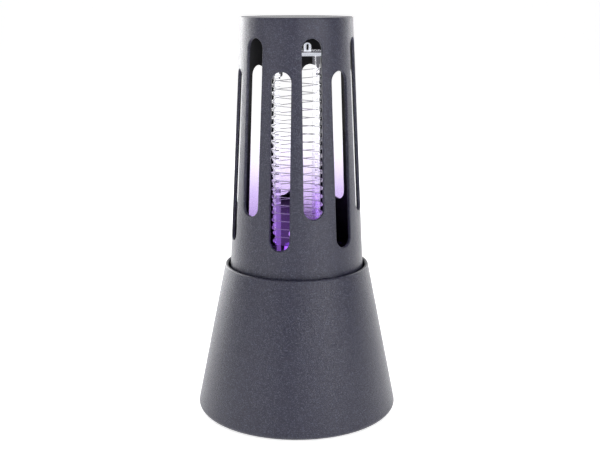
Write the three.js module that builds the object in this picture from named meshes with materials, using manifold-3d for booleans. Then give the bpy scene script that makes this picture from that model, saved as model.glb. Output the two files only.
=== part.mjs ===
// Rechargeable electric bug zapper: a conical base, a slotted guard tube dropped into its rim, and a
// clear grid wound with two steel wires that stands inside the guard over a ring of UV lamps.
// Millimetres, +Z up. The origin is the centre of the underside and the front looks along -Y.
import * as THREE from "three";
import { mergeVertices } from "three/addons/utils/BufferGeometryUtils.js";
import Module from "manifold-3d";

const wasm = await Module();
wasm.setup();

// ---- Driving dimensions ----
const GAP = 0.3; // left between pieces that touch
const HEIGHT = 250; // floor to the top of the guard

const BASE_FOOT_R = 64; // outer radius of the base at its lower edge
const BASE_BOTTOM = 0.8; // lower edge of the base above the floor
const RIM_TOP = 95.8; // top of the base's rim
const RIM_R = 45.8; // outer radius of the rim
const BASE_WALL = 2.4;
const BASE_EDGE_R = 3; // rounding of the base's lower edge

const DECK_TOP = 80.5; // floor of the well inside the rim
const DECK_THICK = 2.5;
const SPIGOT_R = 40; // the guard slips over this ring
const SPIGOT_WALL = 1.5;
const SPIGOT_TOP = 88;
const SEAT_TOP = 83.7; // ring that the guard's lower end rests on
const LEAD_HOLE_R = 6;

const GUARD_BOTTOM = SEAT_TOP + GAP;
const GUARD_TOP_R = 34.3;
const GUARD_TAPER = 0.0512; // growth of the radius for each millimetre downwards
const GUARD_WALL = 2.2;
const GUARD_ROOF = 3;
const GUARD_BEVEL = 0.7;

const SLOT_COUNT = 12;
const SLOT_WIDTH = 12.5;
const SLOT_LENGTH = 106.5;
const LOW_SLOT_BOTTOM = 112.5;
const HIGH_SLOT_BOTTOM = 131.6;

const TRAY_INNER_R = 23.6;
const TRAY_OUTER_R = 38;
const TRAY_TOP = 98;
const TRAY_WALL = 1.4;
const TRAY_LIP = 1.1;

const FOOT_R = 22.4; // grid foot
const FOOT_TOP = 104;
const FOOT_WALL = 2.4;
const LED_RING_R = 6.5;
const LED_COUNT = 6;
const LED_R = 2.5;
const LED_BOARD_R = 18.5;

const GRID_YAW = 3; // degrees that the grid is turned against the front
const POST_HALF = 15.4; // half of the grid's width over the posts' teeth
const POST_WIDTH = 4.8;
const NOTCH_PITCH = 5.1;
const NOTCH_DEPTH = 2.3;
const NOTCH_FLOOR = 1.3; // height of the flat bottom of a notch
const TOOTH_TIP = 0.4; // height of the flat tip of a tooth
const FIRST_NOTCH = 220; // height of the highest notch on the front right post
const NOTCH_COUNT = 22;
const PLATE_TOP = 229;
const PLATE_THICK = 2;
const PLATE_HALF = 15.9;
const WIRE_R = 0.3;

const COVER_BOTTOM = 1.6;
const COVER_THICK = 2;
const SCREW_CIRCLE_R = 55;
const FOOT_CIRCLE_R = 47;
const BOARD_Z = 12.6; // underside of the circuit boards
const BOARD_THICK = 1.6;
const MAIN_BOARD_AREA = [-36, 36, -12, 36]; // left, right, front and back edges
const MAIN_BOARD_HOLES = [[-32, -8], [32, -8], [-32, 32], [32, 32]];
const CHARGE_BOARD_AREA = [-11, 11, 37, 54];
const CHARGE_BOARD_HOLES = [[-8, 41], [8, 41]];
const TRANSFORMER_X = -18;
const TRANSFORMER_HEIGHT = 15;
const CAPACITOR_WIDTH = 7;
const CAPACITOR_LENGTH = 14;
const CAPACITOR_HEIGHT = 12;
const COMPONENTS_Y = 18; // middle of the transformer and the capacitors
const CELL_R = 9.1;
const CELL_LENGTH = 65;
const CELL_Y = -24;
const SOCKET_HALF_WIDTH = 4.6;
const SOCKET_HALF_HEIGHT = 1.7;
const SOCKET_DEPTH = 8;

const BUTTON_Z = 42; // height of the power button's centre on the back of the base
const BUTTON_R = 5.5;
const BUTTON_PROUD = 1;
const USB_Z = 17.5; // height of the charging socket's centre

const BASE_SLOPE = (BASE_FOOT_R - RIM_R) / (RIM_TOP - BASE_BOTTOM);
const baseRadius = (z) => RIM_R + (RIM_TOP - z) * BASE_SLOPE;
const guardRadius = (z) => GUARD_TOP_R + (HEIGHT - z) * GUARD_TAPER;
const radians = THREE.MathUtils.degToRad;

// ---- Materials ----
function finish(color, roughness, metalness = 0, opacity = 1) {
  return new THREE.MeshStandardMaterial({
    color, roughness, metalness, opacity, transparent: opacity < 1,
  });
}
const charcoal = finish(0x4b4b57, 0.45);
const darkPlastic = finish(0x26262b, 0.5);
const clearPlastic = finish(0xf2f4fa, 0.08, 0, 0.35);
const lampResin = finish(0x8a5cf0, 0.1, 0, 0.7);
const steel = finish(0xb9bcc2, 0.3, 1);
const blackRubber = finish(0x1b1b1d, 0.85);
const circuitGreen = finish(0x1f5a3a, 0.5);
const ferrite = finish(0x3b3a3c, 0.7);
const filmCapacitor = finish(0xa5362a, 0.4);
const batteryWrap = finish(0x3566b8, 0.4);
const redLead = finish(0xa82a26, 0.5);
const blackLead = finish(0x1c1c20, 0.5);

// ---- Solid modelling ----
function solid(geometry) {
  const bare = geometry.clone();
  for (const name of Object.keys(bare.attributes)) {
    if (name !== "position") bare.deleteAttribute(name);
  }
  const merged = mergeVertices(bare, 1e-4);
  return new wasm.Manifold(new wasm.Mesh({
    numProp: 3,
    vertProperties: merged.attributes.position.array,
    triVerts: new Uint32Array(merged.index.array),
  }));
}

function toGeometry(body) {
  const mesh = body.getMesh();
  const geometry = new THREE.BufferGeometry();
  geometry.setAttribute("position", new THREE.BufferAttribute(mesh.vertProperties, 3));
  geometry.setIndex(new THREE.BufferAttribute(mesh.triVerts, 1));
  geometry.computeVertexNormals();
  return geometry;
}

// Joins the first list of geometries and cuts the second list out of them.
function carve(joined, cuts = []) {
  let body = solid(joined[0]);
  for (const extra of joined.slice(1)) body = body.add(solid(extra));
  for (const cut of cuts) body = body.subtract(solid(cut));
  return toGeometry(body);
}

// A solid of revolution round Z. The outline runs anticlockwise as [radius, z] pairs.
function turned(outline, segments = 32) {
  const points = outline.map(([r, z]) => new THREE.Vector2(r, z));
  const last = points[points.length - 1];
  if (points[0].x > 0 || last.x > 0) points.push(points[0].clone());
  return new THREE.LatheGeometry(points, segments).rotateX(Math.PI / 2);
}

// The points of an arc of an outline, from one angle to another in degrees.
function arc(centreR, centreZ, radius, from, to, steps) {
  return Array.from({ length: steps + 1 }, (_, i) => {
    const angle = radians(from + ((to - from) * i) / steps);
    return [centreR + radius * Math.cos(angle), centreZ + radius * Math.sin(angle)];
  });
}

function rod(radius, bottom, top, segments = 20) {
  return new THREE.CylinderGeometry(radius, radius, top - bottom, segments)
    .rotateX(Math.PI / 2)
    .translate(0, 0, (bottom + top) / 2);
}

function block(x0, x1, y0, y1, z0, z1) {
  return new THREE.BoxGeometry(x1 - x0, y1 - y0, z1 - z0)
    .translate((x0 + x1) / 2, (y0 + y1) / 2, (z0 + z1) / 2);
}

function mesh(name, geometry, material) {
  const made = new THREE.Mesh(geometry, material);
  made.name = name;
  return made;
}

// A point at a given radius and angle, the angle counted from the front towards the right.
function around(radius, degrees, z = 0) {
  const angle = radians(degrees - 90);
  return new THREE.Vector3(radius * Math.cos(angle), radius * Math.sin(angle), z);
}

// A frame on the back wall of the base: +Z out along the wall's normal, +X to the left of the front.
function backWallFrame(z) {
  const frame = new THREE.Group();
  frame.position.set(0, baseRadius(z), z);
  frame.rotation.x = -Math.PI / 2 + Math.atan(BASE_SLOPE);
  frame.updateMatrix();
  return frame;
}

// ---- Base ----
function baseOutline() {
  const inner = (z) => baseRadius(z) - BASE_WALL;
  const rimR = BASE_WALL / 2;
  const deckBottom = DECK_TOP - DECK_THICK;
  return [
    [LEAD_HOLE_R, DECK_TOP],
    [LEAD_HOLE_R, deckBottom],
    [inner(deckBottom), deckBottom],
    [inner(BASE_BOTTOM), BASE_BOTTOM],
    ...arc(BASE_FOOT_R - BASE_EDGE_R, BASE_BOTTOM + BASE_EDGE_R, BASE_EDGE_R, -75, 0, 4),
    ...arc(RIM_R - rimR, RIM_TOP - rimR, rimR, 10, 175, 5),
    [inner(SEAT_TOP), SEAT_TOP],
    [SPIGOT_R, SEAT_TOP],
    [SPIGOT_R, SPIGOT_TOP],
    [SPIGOT_R - SPIGOT_WALL, SPIGOT_TOP],
    [SPIGOT_R - SPIGOT_WALL, DECK_TOP],
  ];
}

function baseShell() {
  const bosses = [];
  const holes = [];
  for (let k = 0; k < 4; k++) {
    const place = around(SCREW_CIRCLE_R, 45 + 90 * k);
    const bossBottom = COVER_BOTTOM + COVER_THICK + GAP;
    bosses.push(rod(4, bossBottom, 24, 16).translate(place.x, place.y, 0));
    holes.push(rod(1.8, bossBottom - 1, 17, 12).translate(place.x, place.y, 0));
  }
  const wall = backWallFrame(BUTTON_Z).matrix;
  for (const side of [-1, 1]) {
    bosses.push(rod(2.2, -10, -1.8, 12).translate(11 * side, 0, 0).applyMatrix4(wall));
  }
  holes.push(rod(BUTTON_R + GAP, -6, 6, 28).applyMatrix4(wall));
  holes.push(block(-6, 6, baseRadius(USB_Z) - 6, baseRadius(USB_Z) + 6, USB_Z - 3.2, USB_Z + 3.2));
  for (const side of [-1, 1]) {
    holes.push(rod(1.7, DECK_TOP - 5, DECK_TOP + 2, 12).translate(15 * side, 0, 0));
  }
  return mesh("base_shell", carve([turned(baseOutline(), 56), ...bosses], holes), charcoal);
}

function bottomCover() {
  const top = COVER_BOTTOM + COVER_THICK;
  const plate = turned([
    [0, COVER_BOTTOM], [baseRadius(BASE_BOTTOM) - BASE_WALL - 0.8, COVER_BOTTOM],
    [baseRadius(BASE_BOTTOM) - BASE_WALL - 1, top], [0, top],
  ], 48);
  const joined = [plate];
  const holes = [];
  for (const [x, y] of [...MAIN_BOARD_HOLES, ...CHARGE_BOARD_HOLES]) {
    joined.push(rod(2.4, COVER_BOTTOM + 1, BOARD_Z - GAP, 12).translate(x, y, 0));
    holes.push(rod(1.2, top + 1, BOARD_Z, 8).translate(x, y, 0));
  }
  for (let k = 0; k < 4; k++) {
    const screw = around(SCREW_CIRCLE_R, 45 + 90 * k);
    const foot = around(FOOT_CIRCLE_R, 90 * k);
    holes.push(rod(1.8, 0, 6, 12).translate(screw.x, screw.y, 0));
    holes.push(rod(2.1, 0, 6, 12).translate(foot.x, foot.y, 0));
  }
  return mesh("bottom_cover", carve(joined, holes), darkPlastic);
}

function rubberFeet() {
  const top = COVER_BOTTOM - GAP;
  const outline = [
    [0, 0], [5.4, 0], [6, 0.5], [6, top], [1.8, top], [1.8, COVER_BOTTOM + COVER_THICK + 0.8],
    [0, COVER_BOTTOM + COVER_THICK + 0.8],
  ];
  return [0, 1, 2, 3].map((k) => {
    const foot = mesh("foot_" + (k + 1), turned(outline, 16), blackRubber);
    foot.position.copy(around(FOOT_CIRCLE_R, 90 * k));
    return foot;
  });
}

// A pan-head screw pointing up, with a cross recess in its head. The head's upper face is at z = 0.
function panScrew(shankR, length, headR) {
  const headHeight = 0.9;
  const head = turned([
    [0, -headHeight], [headR - 0.4, -headHeight], [headR, -headHeight + 0.5], [headR, 0],
    [shankR, 0], [shankR, length - 1.2], [0.4, length], [0, length],
  ], 12);
  const bar = block(-headR * 0.55, headR * 0.55, -0.3, 0.3, -headHeight - 1, -headHeight + 0.5);
  return carve([head], [bar, bar.clone().rotateZ(Math.PI / 2)]);
}

function coverScrews() {
  return [0, 1, 2, 3].map((k) => {
    const screw = mesh("cover_screw_" + (k + 1), panScrew(1.5, 13.5, 2.8), steel);
    screw.position.copy(around(SCREW_CIRCLE_R, 45 + 90 * k, COVER_BOTTOM - GAP));
    return screw;
  });
}

// ---- Power and controls inside the base ----
function drilledBoard(x0, x1, y0, y1, holes) {
  const drills = holes.map(([x, y]) =>
    rod(1.3, BOARD_Z - 1, BOARD_Z + BOARD_THICK + 1, 10).translate(x, y, 0));
  return carve([block(x0, x1, y0, y1, BOARD_Z, BOARD_Z + BOARD_THICK)], drills);
}

// The screws of both boards point down into the posts of the bottom cover.
function boardScrews() {
  return [...MAIN_BOARD_HOLES, ...CHARGE_BOARD_HOLES].map(([x, y], i) => {
    const screw = mesh("board_screw_" + (i + 1), panScrew(0.85, 6, 2), steel);
    screw.rotation.x = Math.PI;
    screw.position.set(x, y, BOARD_Z + BOARD_THICK + GAP);
    return screw;
  });
}

function mainBoard() {
  const board = drilledBoard(...MAIN_BOARD_AREA, MAIN_BOARD_HOLES);
  const top = BOARD_Z + BOARD_THICK + GAP;
  const transformer = carve(
    [block(-9, 9, -8, 8, top, top + TRANSFORMER_HEIGHT)],
    [block(-10, 10, -8.5, -5, top + 3, top + 12), block(-10, 10, 5, 8.5, top + 3, top + 12)],
  );
  const capacitor = (x) => block(
    x - CAPACITOR_WIDTH / 2, x + CAPACITOR_WIDTH / 2,
    COMPONENTS_Y - CAPACITOR_LENGTH / 2, COMPONENTS_Y + CAPACITOR_LENGTH / 2,
    top, top + CAPACITOR_HEIGHT);
  return [
    mesh("main_board", board, circuitGreen),
    mesh("transformer", transformer.translate(TRANSFORMER_X, COMPONENTS_Y, 0), ferrite),
    mesh("hv_capacitor_1", capacitor(6), filmCapacitor),
    mesh("hv_capacitor_2", capacitor(17), filmCapacitor),
  ];
}

function batteryPack() {
  const floor = COVER_BOTTOM + COVER_THICK + GAP;
  const axisZ = floor + 2 + CELL_R + 0.4;
  const cell = turned([
    [0, -CELL_LENGTH / 2], [CELL_R - 0.6, -CELL_LENGTH / 2], [CELL_R, -CELL_LENGTH / 2 + 0.6],
    [CELL_R, CELL_LENGTH / 2 - 2.2], [CELL_R - 1, CELL_LENGTH / 2 - 1.4], [3, CELL_LENGTH / 2 - 1.4],
    [3, CELL_LENGTH / 2], [0, CELL_LENGTH / 2],
  ], 24).rotateY(Math.PI / 2).translate(0, CELL_Y, axisZ);
  const holder = carve(
    [block(-37, 37, CELL_Y - 10.6, CELL_Y + 10.6, floor, floor + 15)],
    [
      block(-35, 35, CELL_Y - 9.1, CELL_Y + 9.1, axisZ, floor + 20),
      new THREE.CylinderGeometry(CELL_R + 0.4, CELL_R + 0.4, 70, 24)
        .rotateZ(Math.PI / 2).translate(0, CELL_Y, axisZ),
    ],
  );
  // A bent metal plate with a solder tag stands at each end of the cell.
  const contact = (x) => carve([
    block(x - 0.3, x + 0.3, CELL_Y - 5, CELL_Y + 5, axisZ - 6, axisZ + 6),
    block(x - 0.3, x + 0.3, CELL_Y - 1.2, CELL_Y + 1.2, axisZ + 5, axisZ + 10),
  ]);
  const contactX = CELL_LENGTH / 2 + 1.2;
  return [
    mesh("battery", cell, batteryWrap),
    mesh("battery_holder", holder, darkPlastic),
    mesh("battery_contact_1", contact(-contactX), steel),
    mesh("battery_contact_2", contact(contactX), steel),
  ];
}

function chargingInlet() {
  const board = drilledBoard(...CHARGE_BOARD_AREA, CHARGE_BOARD_HOLES);
  const bottom = BOARD_Z + BOARD_THICK + GAP;
  const mouth = baseRadius(USB_Z) - BASE_WALL - 0.6;
  const socket = carve(
    [block(-SOCKET_HALF_WIDTH, SOCKET_HALF_WIDTH, mouth - SOCKET_DEPTH, mouth,
      USB_Z - SOCKET_HALF_HEIGHT, USB_Z + SOCKET_HALF_HEIGHT),
    block(-4.2, 4.2, mouth - SOCKET_DEPTH, mouth - 2, bottom, USB_Z - 1)],
    [block(-4.1, 4.1, mouth - 6.5, mouth + 1, USB_Z - 1.25, USB_Z - 0.4),
      block(-4.1, 4.1, mouth - 6.5, mouth + 1, USB_Z + 0.4, USB_Z + 1.25),
      block(-4.1, -3.2, mouth - 6.5, mouth + 1, USB_Z - 1, USB_Z + 1),
      block(3.2, 4.1, mouth - 6.5, mouth + 1, USB_Z - 1, USB_Z + 1)],
  );
  return [mesh("charge_board", board, circuitGreen), mesh("usb_socket", socket, steel)];
}

function powerSwitch() {
  const frame = backWallFrame(BUTTON_Z);
  const cap = turned([
    [0, -4.5], [BUTTON_R + 1.2, -4.5], [BUTTON_R + 1.2, -3.4], [BUTTON_R, -3.4],
    ...arc(BUTTON_R - 0.6, BUTTON_PROUD - 0.6, 0.6, 0, 90, 3), [0, BUTTON_PROUD - 0.2],
  ], 28);
  const switchBody = carve([block(-3, 3, -3, 3, -10, -7), rod(1.7, -7.5, -6.1, 16)]);
  frame.add(mesh("power_button", cap, darkPlastic));
  frame.add(mesh("button_switch", switchBody, darkPlastic));
  frame.add(mesh("switch_board", block(-14, 14, -6, 6, -11.9, -10.3), circuitGreen));
  return frame;
}

// ---- Electric grid ----
// The toothed edge of a post from its lowest notch to its highest: [distance, z] pairs, upwards.
function notchedEdge(lowestNotch) {
  const points = [];
  for (let k = 0; k < NOTCH_COUNT - 1; k++) {
    const notch = lowestNotch + k * NOTCH_PITCH;
    const tooth = notch + NOTCH_PITCH / 2;
    points.push([POST_HALF - NOTCH_DEPTH, notch + NOTCH_FLOOR / 2]);
    points.push([POST_HALF, tooth - TOOTH_TIP / 2]);
    points.push([POST_HALF, tooth + TOOTH_TIP / 2]);
    points.push([POST_HALF - NOTCH_DEPTH, notch + NOTCH_PITCH - NOTCH_FLOOR / 2]);
  }
  return points;
}

// A post is the overlap of two notched bars that stand square to each other. Above and below its
// teeth it is slimmer, which leaves room for the ends of the wires.
function gridPost(lowestNotch) {
  const bottom = FOOT_TOP + GAP;
  const top = PLATE_TOP - PLATE_THICK - GAP;
  const inner = POST_HALF - POST_WIDTH;
  const neck = POST_HALF - NOTCH_DEPTH;
  const outline = new THREE.Shape([
    [inner, bottom], [neck, bottom], ...notchedEdge(lowestNotch), [neck, top], [inner, top],
  ].map(([x, z]) => new THREE.Vector2(x, z)));
  const bar = new THREE.ExtrudeGeometry(outline, { depth: POST_WIDTH + 2, bevelEnabled: false })
    .rotateX(Math.PI / 2);
  const across = bar.clone().rotateZ(Math.PI / 2).translate(inner - 1, 0, 0);
  bar.translate(0, POST_HALF + 1, 0);
  return toGeometry(solid(bar).intersect(solid(across)));
}

// The wire's path: straight runs between the corners of the winding, with a small bend at each.
class Winding extends THREE.Curve {
  constructor(points) {
    super();
    this.points = points;
  }

  getPoint(t) {
    const place = Math.min(Math.max(t, 0), 1) * (this.points.length - 1);
    const index = Math.min(Math.floor(place), this.points.length - 2);
    return this.points[index].clone().lerp(this.points[index + 1], place - index);
  }

  getUtoTmapping(u) {
    return u;
  }
}

// A wire that winds down round the posts from a corner (0 is front left, 1 front right, and so on).
function woundWire(startCorner, startZ, quarterTurns, lead, tail) {
  const reach = POST_HALF - NOTCH_DEPTH + WIRE_R + GAP;
  const bend = 0.5;
  const corner = (k) => new THREE.Vector2(
    (k + 1) % 4 < 2 ? -reach : reach,
    k % 4 < 2 ? -reach : reach,
  );
  const points = [];
  for (let k = 0; k <= quarterTurns; k++) {
    const here = corner(startCorner + k);
    const z = startZ - (k * NOTCH_PITCH) / 2;
    const before = corner(startCorner + k + 3).sub(here).setLength(bend);
    const after = corner(startCorner + k + 1).sub(here).setLength(bend);
    if (k > 0) points.push(new THREE.Vector3(here.x + before.x, here.y + before.y, z));
    if (k < quarterTurns) points.push(new THREE.Vector3(here.x + after.x, here.y + after.y, z));
  }
  const first = points[0];
  const last = points[points.length - 1];
  if (lead) points.unshift(new THREE.Vector3(first.x, first.y, lead));
  points.push(new THREE.Vector3(last.x, last.y, tail));
  const section = new THREE.Shape(
    Array.from({ length: 6 }, (_, i) => new THREE.Vector2(
      WIRE_R * Math.cos((i * Math.PI) / 3), WIRE_R * Math.sin((i * Math.PI) / 3))),
  );
  return new THREE.ExtrudeGeometry(section, {
    steps: points.length - 1, extrudePath: new Winding(points), bevelEnabled: false,
  });
}

function gridFoot() {
  const outline = [
    [FOOT_R - FOOT_WALL, DECK_TOP + GAP], [FOOT_R, DECK_TOP + GAP],
    ...arc(FOOT_R - 1, FOOT_TOP - 1, 1, 0, 90, 3), [0, FOOT_TOP], [0, FOOT_TOP - FOOT_WALL],
    [FOOT_R - FOOT_WALL, FOOT_TOP - FOOT_WALL],
  ];
  const holes = [];
  for (let k = 0; k < LED_COUNT; k++) {
    const place = around(LED_RING_R, (360 / LED_COUNT) * k);
    holes.push(rod(LED_R + GAP, 90, 110, 16).translate(place.x, place.y, 0));
  }
  const bosses = [-1, 1].map((side) =>
    rod(3.4, DECK_TOP + GAP, FOOT_TOP - FOOT_WALL + 1, 14).translate(15 * side, 0, 0));
  const screwHoles = [-1, 1].map((side) =>
    rod(1.6, DECK_TOP - 2, DECK_TOP + 12, 12).translate(15 * side, 0, 0));
  return mesh("grid_foot",
    carve([turned(outline, 36), ...bosses], [...holes, ...screwHoles]), darkPlastic);
}

function lamps() {
  const boardTop = FOOT_TOP - FOOT_WALL - 2.2;
  const cuts = [-1, 1].map((side) => rod(4, 90, 104, 14).translate(15 * side, 0, 0));
  const board = carve([rod(LED_BOARD_R, boardTop - BOARD_THICK, boardTop, 40)], cuts);
  const bottom = boardTop + GAP;
  const lens = turned([
    [0, bottom], [LED_R, bottom],
    ...arc(0, FOOT_TOP + 1, LED_R, 0, 75, 4), [0, FOOT_TOP + 1 + LED_R],
  ], 12);
  const pieces = [mesh("led_board", board, circuitGreen)];
  for (let k = 0; k < LED_COUNT; k++) {
    const lamp = mesh("uv_led_" + (k + 1), lens, lampResin);
    lamp.position.copy(around(LED_RING_R, (360 / LED_COUNT) * k));
    pieces.push(lamp);
  }
  return pieces;
}

function topPlate() {
  const half = PLATE_HALF;
  const cut = 2;
  const outline = new THREE.Shape([
    [-half + cut, -half], [half - cut, -half], [half, -half + cut], [half, half - cut],
    [half - cut, half], [-half + cut, half], [-half, half - cut], [-half, -half + cut],
  ].map(([x, y]) => new THREE.Vector2(x, y)));
  return new THREE.ExtrudeGeometry(outline, { depth: PLATE_THICK, bevelEnabled: false })
    .translate(0, 0, PLATE_TOP - PLATE_THICK);
}

// A small arch of clear plastic that stands on the top plate.
function loopOnPlate() {
  const arch = (half, height) => {
    const shape = new THREE.Shape();
    shape.moveTo(-half, 0);
    shape.lineTo(half, 0);
    shape.lineTo(half, height - half);
    shape.absarc(0, height - half, half, 0, Math.PI, false);
    shape.lineTo(-half, 0);
    return shape;
  };
  const thick = 2.4;
  const outer = new THREE.ExtrudeGeometry(arch(2.1, 5.4), {
    depth: thick, bevelEnabled: false, curveSegments: 8,
  });
  const eye = new THREE.ExtrudeGeometry(arch(0.8, 3.9), {
    depth: thick + 2, bevelEnabled: false, curveSegments: 6,
  }).translate(0, 0.7, -1);
  return carve([outer], [eye]).rotateX(Math.PI / 2).translate(0, thick / 2, 0);
}

function electricGrid() {
  const grid = new THREE.Group();
  grid.rotation.z = radians(GRID_YAW);
  const lowest = FIRST_NOTCH - (NOTCH_COUNT - 1) * NOTCH_PITCH;
  // Corner 0 is front left, and the numbers run on past the front right one.
  for (let k = 0; k < 4; k++) {
    const offset = k % 2 === 1 ? 0 : NOTCH_PITCH / 2;
    const post = mesh("grid_post_" + (k + 1), gridPost(lowest - offset), clearPlastic);
    post.rotation.z = Math.PI + (k * Math.PI) / 2;
    grid.add(post);
  }
  grid.add(mesh("grid_top_plate", topPlate(), clearPlastic));
  const loop = mesh("grid_loop", loopOnPlate(), clearPlastic);
  loop.position.set(6.1, -8.3, PLATE_TOP + GAP);
  grid.add(loop);
  const peg = mesh("anchor_peg", turned([
    [0, -13], [0.8, -12.8], [1.25, -12], [1.25, 0], [0, 0],
  ], 14), darkPlastic);
  peg.position.set(-10, -2.2, PLATE_TOP - PLATE_THICK - GAP);
  grid.add(peg);
  const plateUnderside = PLATE_TOP - PLATE_THICK - 2 * GAP;
  grid.add(mesh("live_wire",
    woundWire(1, FIRST_NOTCH, 42, plateUnderside, FOOT_TOP + 2 * GAP), steel));
  grid.add(mesh("neutral_wire",
    woundWire(1, FIRST_NOTCH - NOTCH_PITCH, 41, 0, FOOT_TOP + 2 * GAP), steel));
  return grid;
}

// The screws that hold the grid's foot down on the deck, and the leads that rise to it.
function footFixings() {
  const screws = [-1, 1].map((side, i) => {
    const screw = mesh("grid_screw_" + (i + 1), panScrew(1.3, 12, 2.6), steel);
    screw.position.set(15 * side, 0, DECK_TOP - DECK_THICK - GAP);
    return screw;
  });
  const leads = [["live_lead", redLead, 1], ["neutral_lead", blackLead, -1]].map(
    ([name, material, side]) => {
      const route = new THREE.CatmullRomCurve3([
        new THREE.Vector3(28 * side, 6, BOARD_Z + BOARD_THICK + 1.4),
        new THREE.Vector3(27.5 * side, 5, BOARD_Z + 12),
        new THREE.Vector3(20 * side, 3, BOARD_Z + 34),
        new THREE.Vector3(6 * side, 1, BOARD_Z + 52),
        new THREE.Vector3(2.4 * side, 0, DECK_TOP - 4),
        new THREE.Vector3(2.4 * side, 0, DECK_TOP + 14),
      ]);
      const section = new THREE.Shape().absarc(0, 0, 0.8, 0, 2 * Math.PI, false);
      const tube = new THREE.ExtrudeGeometry(section, {
        steps: 20, extrudePath: route, bevelEnabled: false, curveSegments: 4,
      });
      return mesh(name, tube, material);
    });
  return [...screws, ...leads];
}

// ---- Guard and tray ----
function slotCutter(bottom, degrees) {
  const half = SLOT_WIDTH / 2;
  const shape = new THREE.Shape();
  shape.absarc(0, SLOT_LENGTH - half, half, 0, Math.PI, false);
  shape.absarc(0, half, half, Math.PI, 2 * Math.PI, false);
  const reach = guardRadius(0);
  return new THREE.ExtrudeGeometry(shape, { depth: reach, bevelEnabled: false, curveSegments: 5 })
    .rotateX(Math.PI / 2)
    .translate(0, -20, bottom)
    .rotateZ(radians(degrees));
}

function guardTube() {
  const outline = [
    [guardRadius(GUARD_BOTTOM) - GUARD_WALL, GUARD_BOTTOM],
    [guardRadius(GUARD_BOTTOM), GUARD_BOTTOM],
    ...arc(GUARD_TOP_R - GUARD_BEVEL, HEIGHT - GUARD_BEVEL, GUARD_BEVEL, 0, 90, 3),
    [0, HEIGHT],
    [0, HEIGHT - GUARD_ROOF],
    [guardRadius(HEIGHT - GUARD_ROOF) - GUARD_WALL, HEIGHT - GUARD_ROOF],
  ];
  const slots = Array.from({ length: SLOT_COUNT }, (_, k) => {
    const bottom = k % 2 === 0 ? HIGH_SLOT_BOTTOM : LOW_SLOT_BOTTOM;
    return slotCutter(bottom, 15 + (360 / SLOT_COUNT) * k);
  });
  return mesh("guard_tube", carve([turned(outline, 48)], slots), charcoal);
}

function insectTray() {
  const bottom = DECK_TOP + GAP;
  const inside = TRAY_INNER_R + TRAY_WALL;
  const outside = TRAY_OUTER_R - TRAY_WALL;
  const geometry = turned([
    [TRAY_INNER_R, bottom], [TRAY_OUTER_R, bottom],
    [TRAY_OUTER_R, TRAY_TOP - TRAY_WALL], [TRAY_OUTER_R + TRAY_LIP, TRAY_TOP - TRAY_WALL],
    [TRAY_OUTER_R + TRAY_LIP, TRAY_TOP], [outside, TRAY_TOP], [outside, bottom + TRAY_WALL],
    [inside, bottom + TRAY_WALL], [inside, TRAY_TOP], [TRAY_INNER_R, TRAY_TOP],
  ], 36);
  return mesh("insect_tray", geometry, darkPlastic);
}

// ---- Assembly ----
const zapper = new THREE.Group();
zapper.add(
  baseShell(), bottomCover(), ...rubberFeet(), ...coverScrews(),
  ...mainBoard(), ...batteryPack(), ...chargingInlet(), ...boardScrews(), powerSwitch(),
  gridFoot(), ...lamps(), electricGrid(), ...footFixings(),
  guardTube(), insectTray(),
);

export default zapper;
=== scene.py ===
import math

import bmesh
import bpy
from mathutils import Matrix, Vector


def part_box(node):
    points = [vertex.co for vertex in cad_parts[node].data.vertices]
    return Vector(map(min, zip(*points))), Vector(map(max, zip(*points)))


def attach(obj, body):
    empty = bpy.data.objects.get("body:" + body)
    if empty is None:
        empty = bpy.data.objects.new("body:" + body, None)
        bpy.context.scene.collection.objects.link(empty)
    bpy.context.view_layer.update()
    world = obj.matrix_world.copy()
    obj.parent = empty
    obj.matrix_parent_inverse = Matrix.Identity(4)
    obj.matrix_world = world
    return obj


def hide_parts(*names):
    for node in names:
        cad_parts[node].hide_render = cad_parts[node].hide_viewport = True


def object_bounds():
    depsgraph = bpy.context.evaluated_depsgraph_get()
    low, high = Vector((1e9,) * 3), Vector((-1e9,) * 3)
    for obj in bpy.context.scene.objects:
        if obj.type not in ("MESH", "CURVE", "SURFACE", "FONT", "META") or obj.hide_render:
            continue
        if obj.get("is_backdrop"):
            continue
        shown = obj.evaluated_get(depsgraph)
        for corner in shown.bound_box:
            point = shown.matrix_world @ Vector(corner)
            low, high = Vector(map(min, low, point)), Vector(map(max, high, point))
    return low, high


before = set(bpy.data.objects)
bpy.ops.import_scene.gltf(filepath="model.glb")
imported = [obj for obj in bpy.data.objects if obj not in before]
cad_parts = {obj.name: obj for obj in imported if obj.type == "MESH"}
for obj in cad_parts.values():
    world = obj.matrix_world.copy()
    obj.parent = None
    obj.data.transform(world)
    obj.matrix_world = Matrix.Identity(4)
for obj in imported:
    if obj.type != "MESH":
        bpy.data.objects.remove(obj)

cad_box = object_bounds()
mm = 0.001
scene = bpy.context.scene


# ---- Studio -------------------------------------------------------------------------------------
# A plain white floor that runs past the horizon, soft light from all round, and a camera that
# looks slightly down at the front of the lamp.

camera = bpy.data.objects.new("camera", bpy.data.cameras.new("camera"))
scene.collection.objects.link(camera)
camera.data.lens = 60.88
camera.data.shift_x = 0.0055
camera.location = (0, -629.6 * mm, 264.65 * mm)
camera.rotation_euler = (math.radians(90 - 12.955), 0, 0)
scene.camera = camera
scene.view_settings.view_transform = "Standard"

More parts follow.
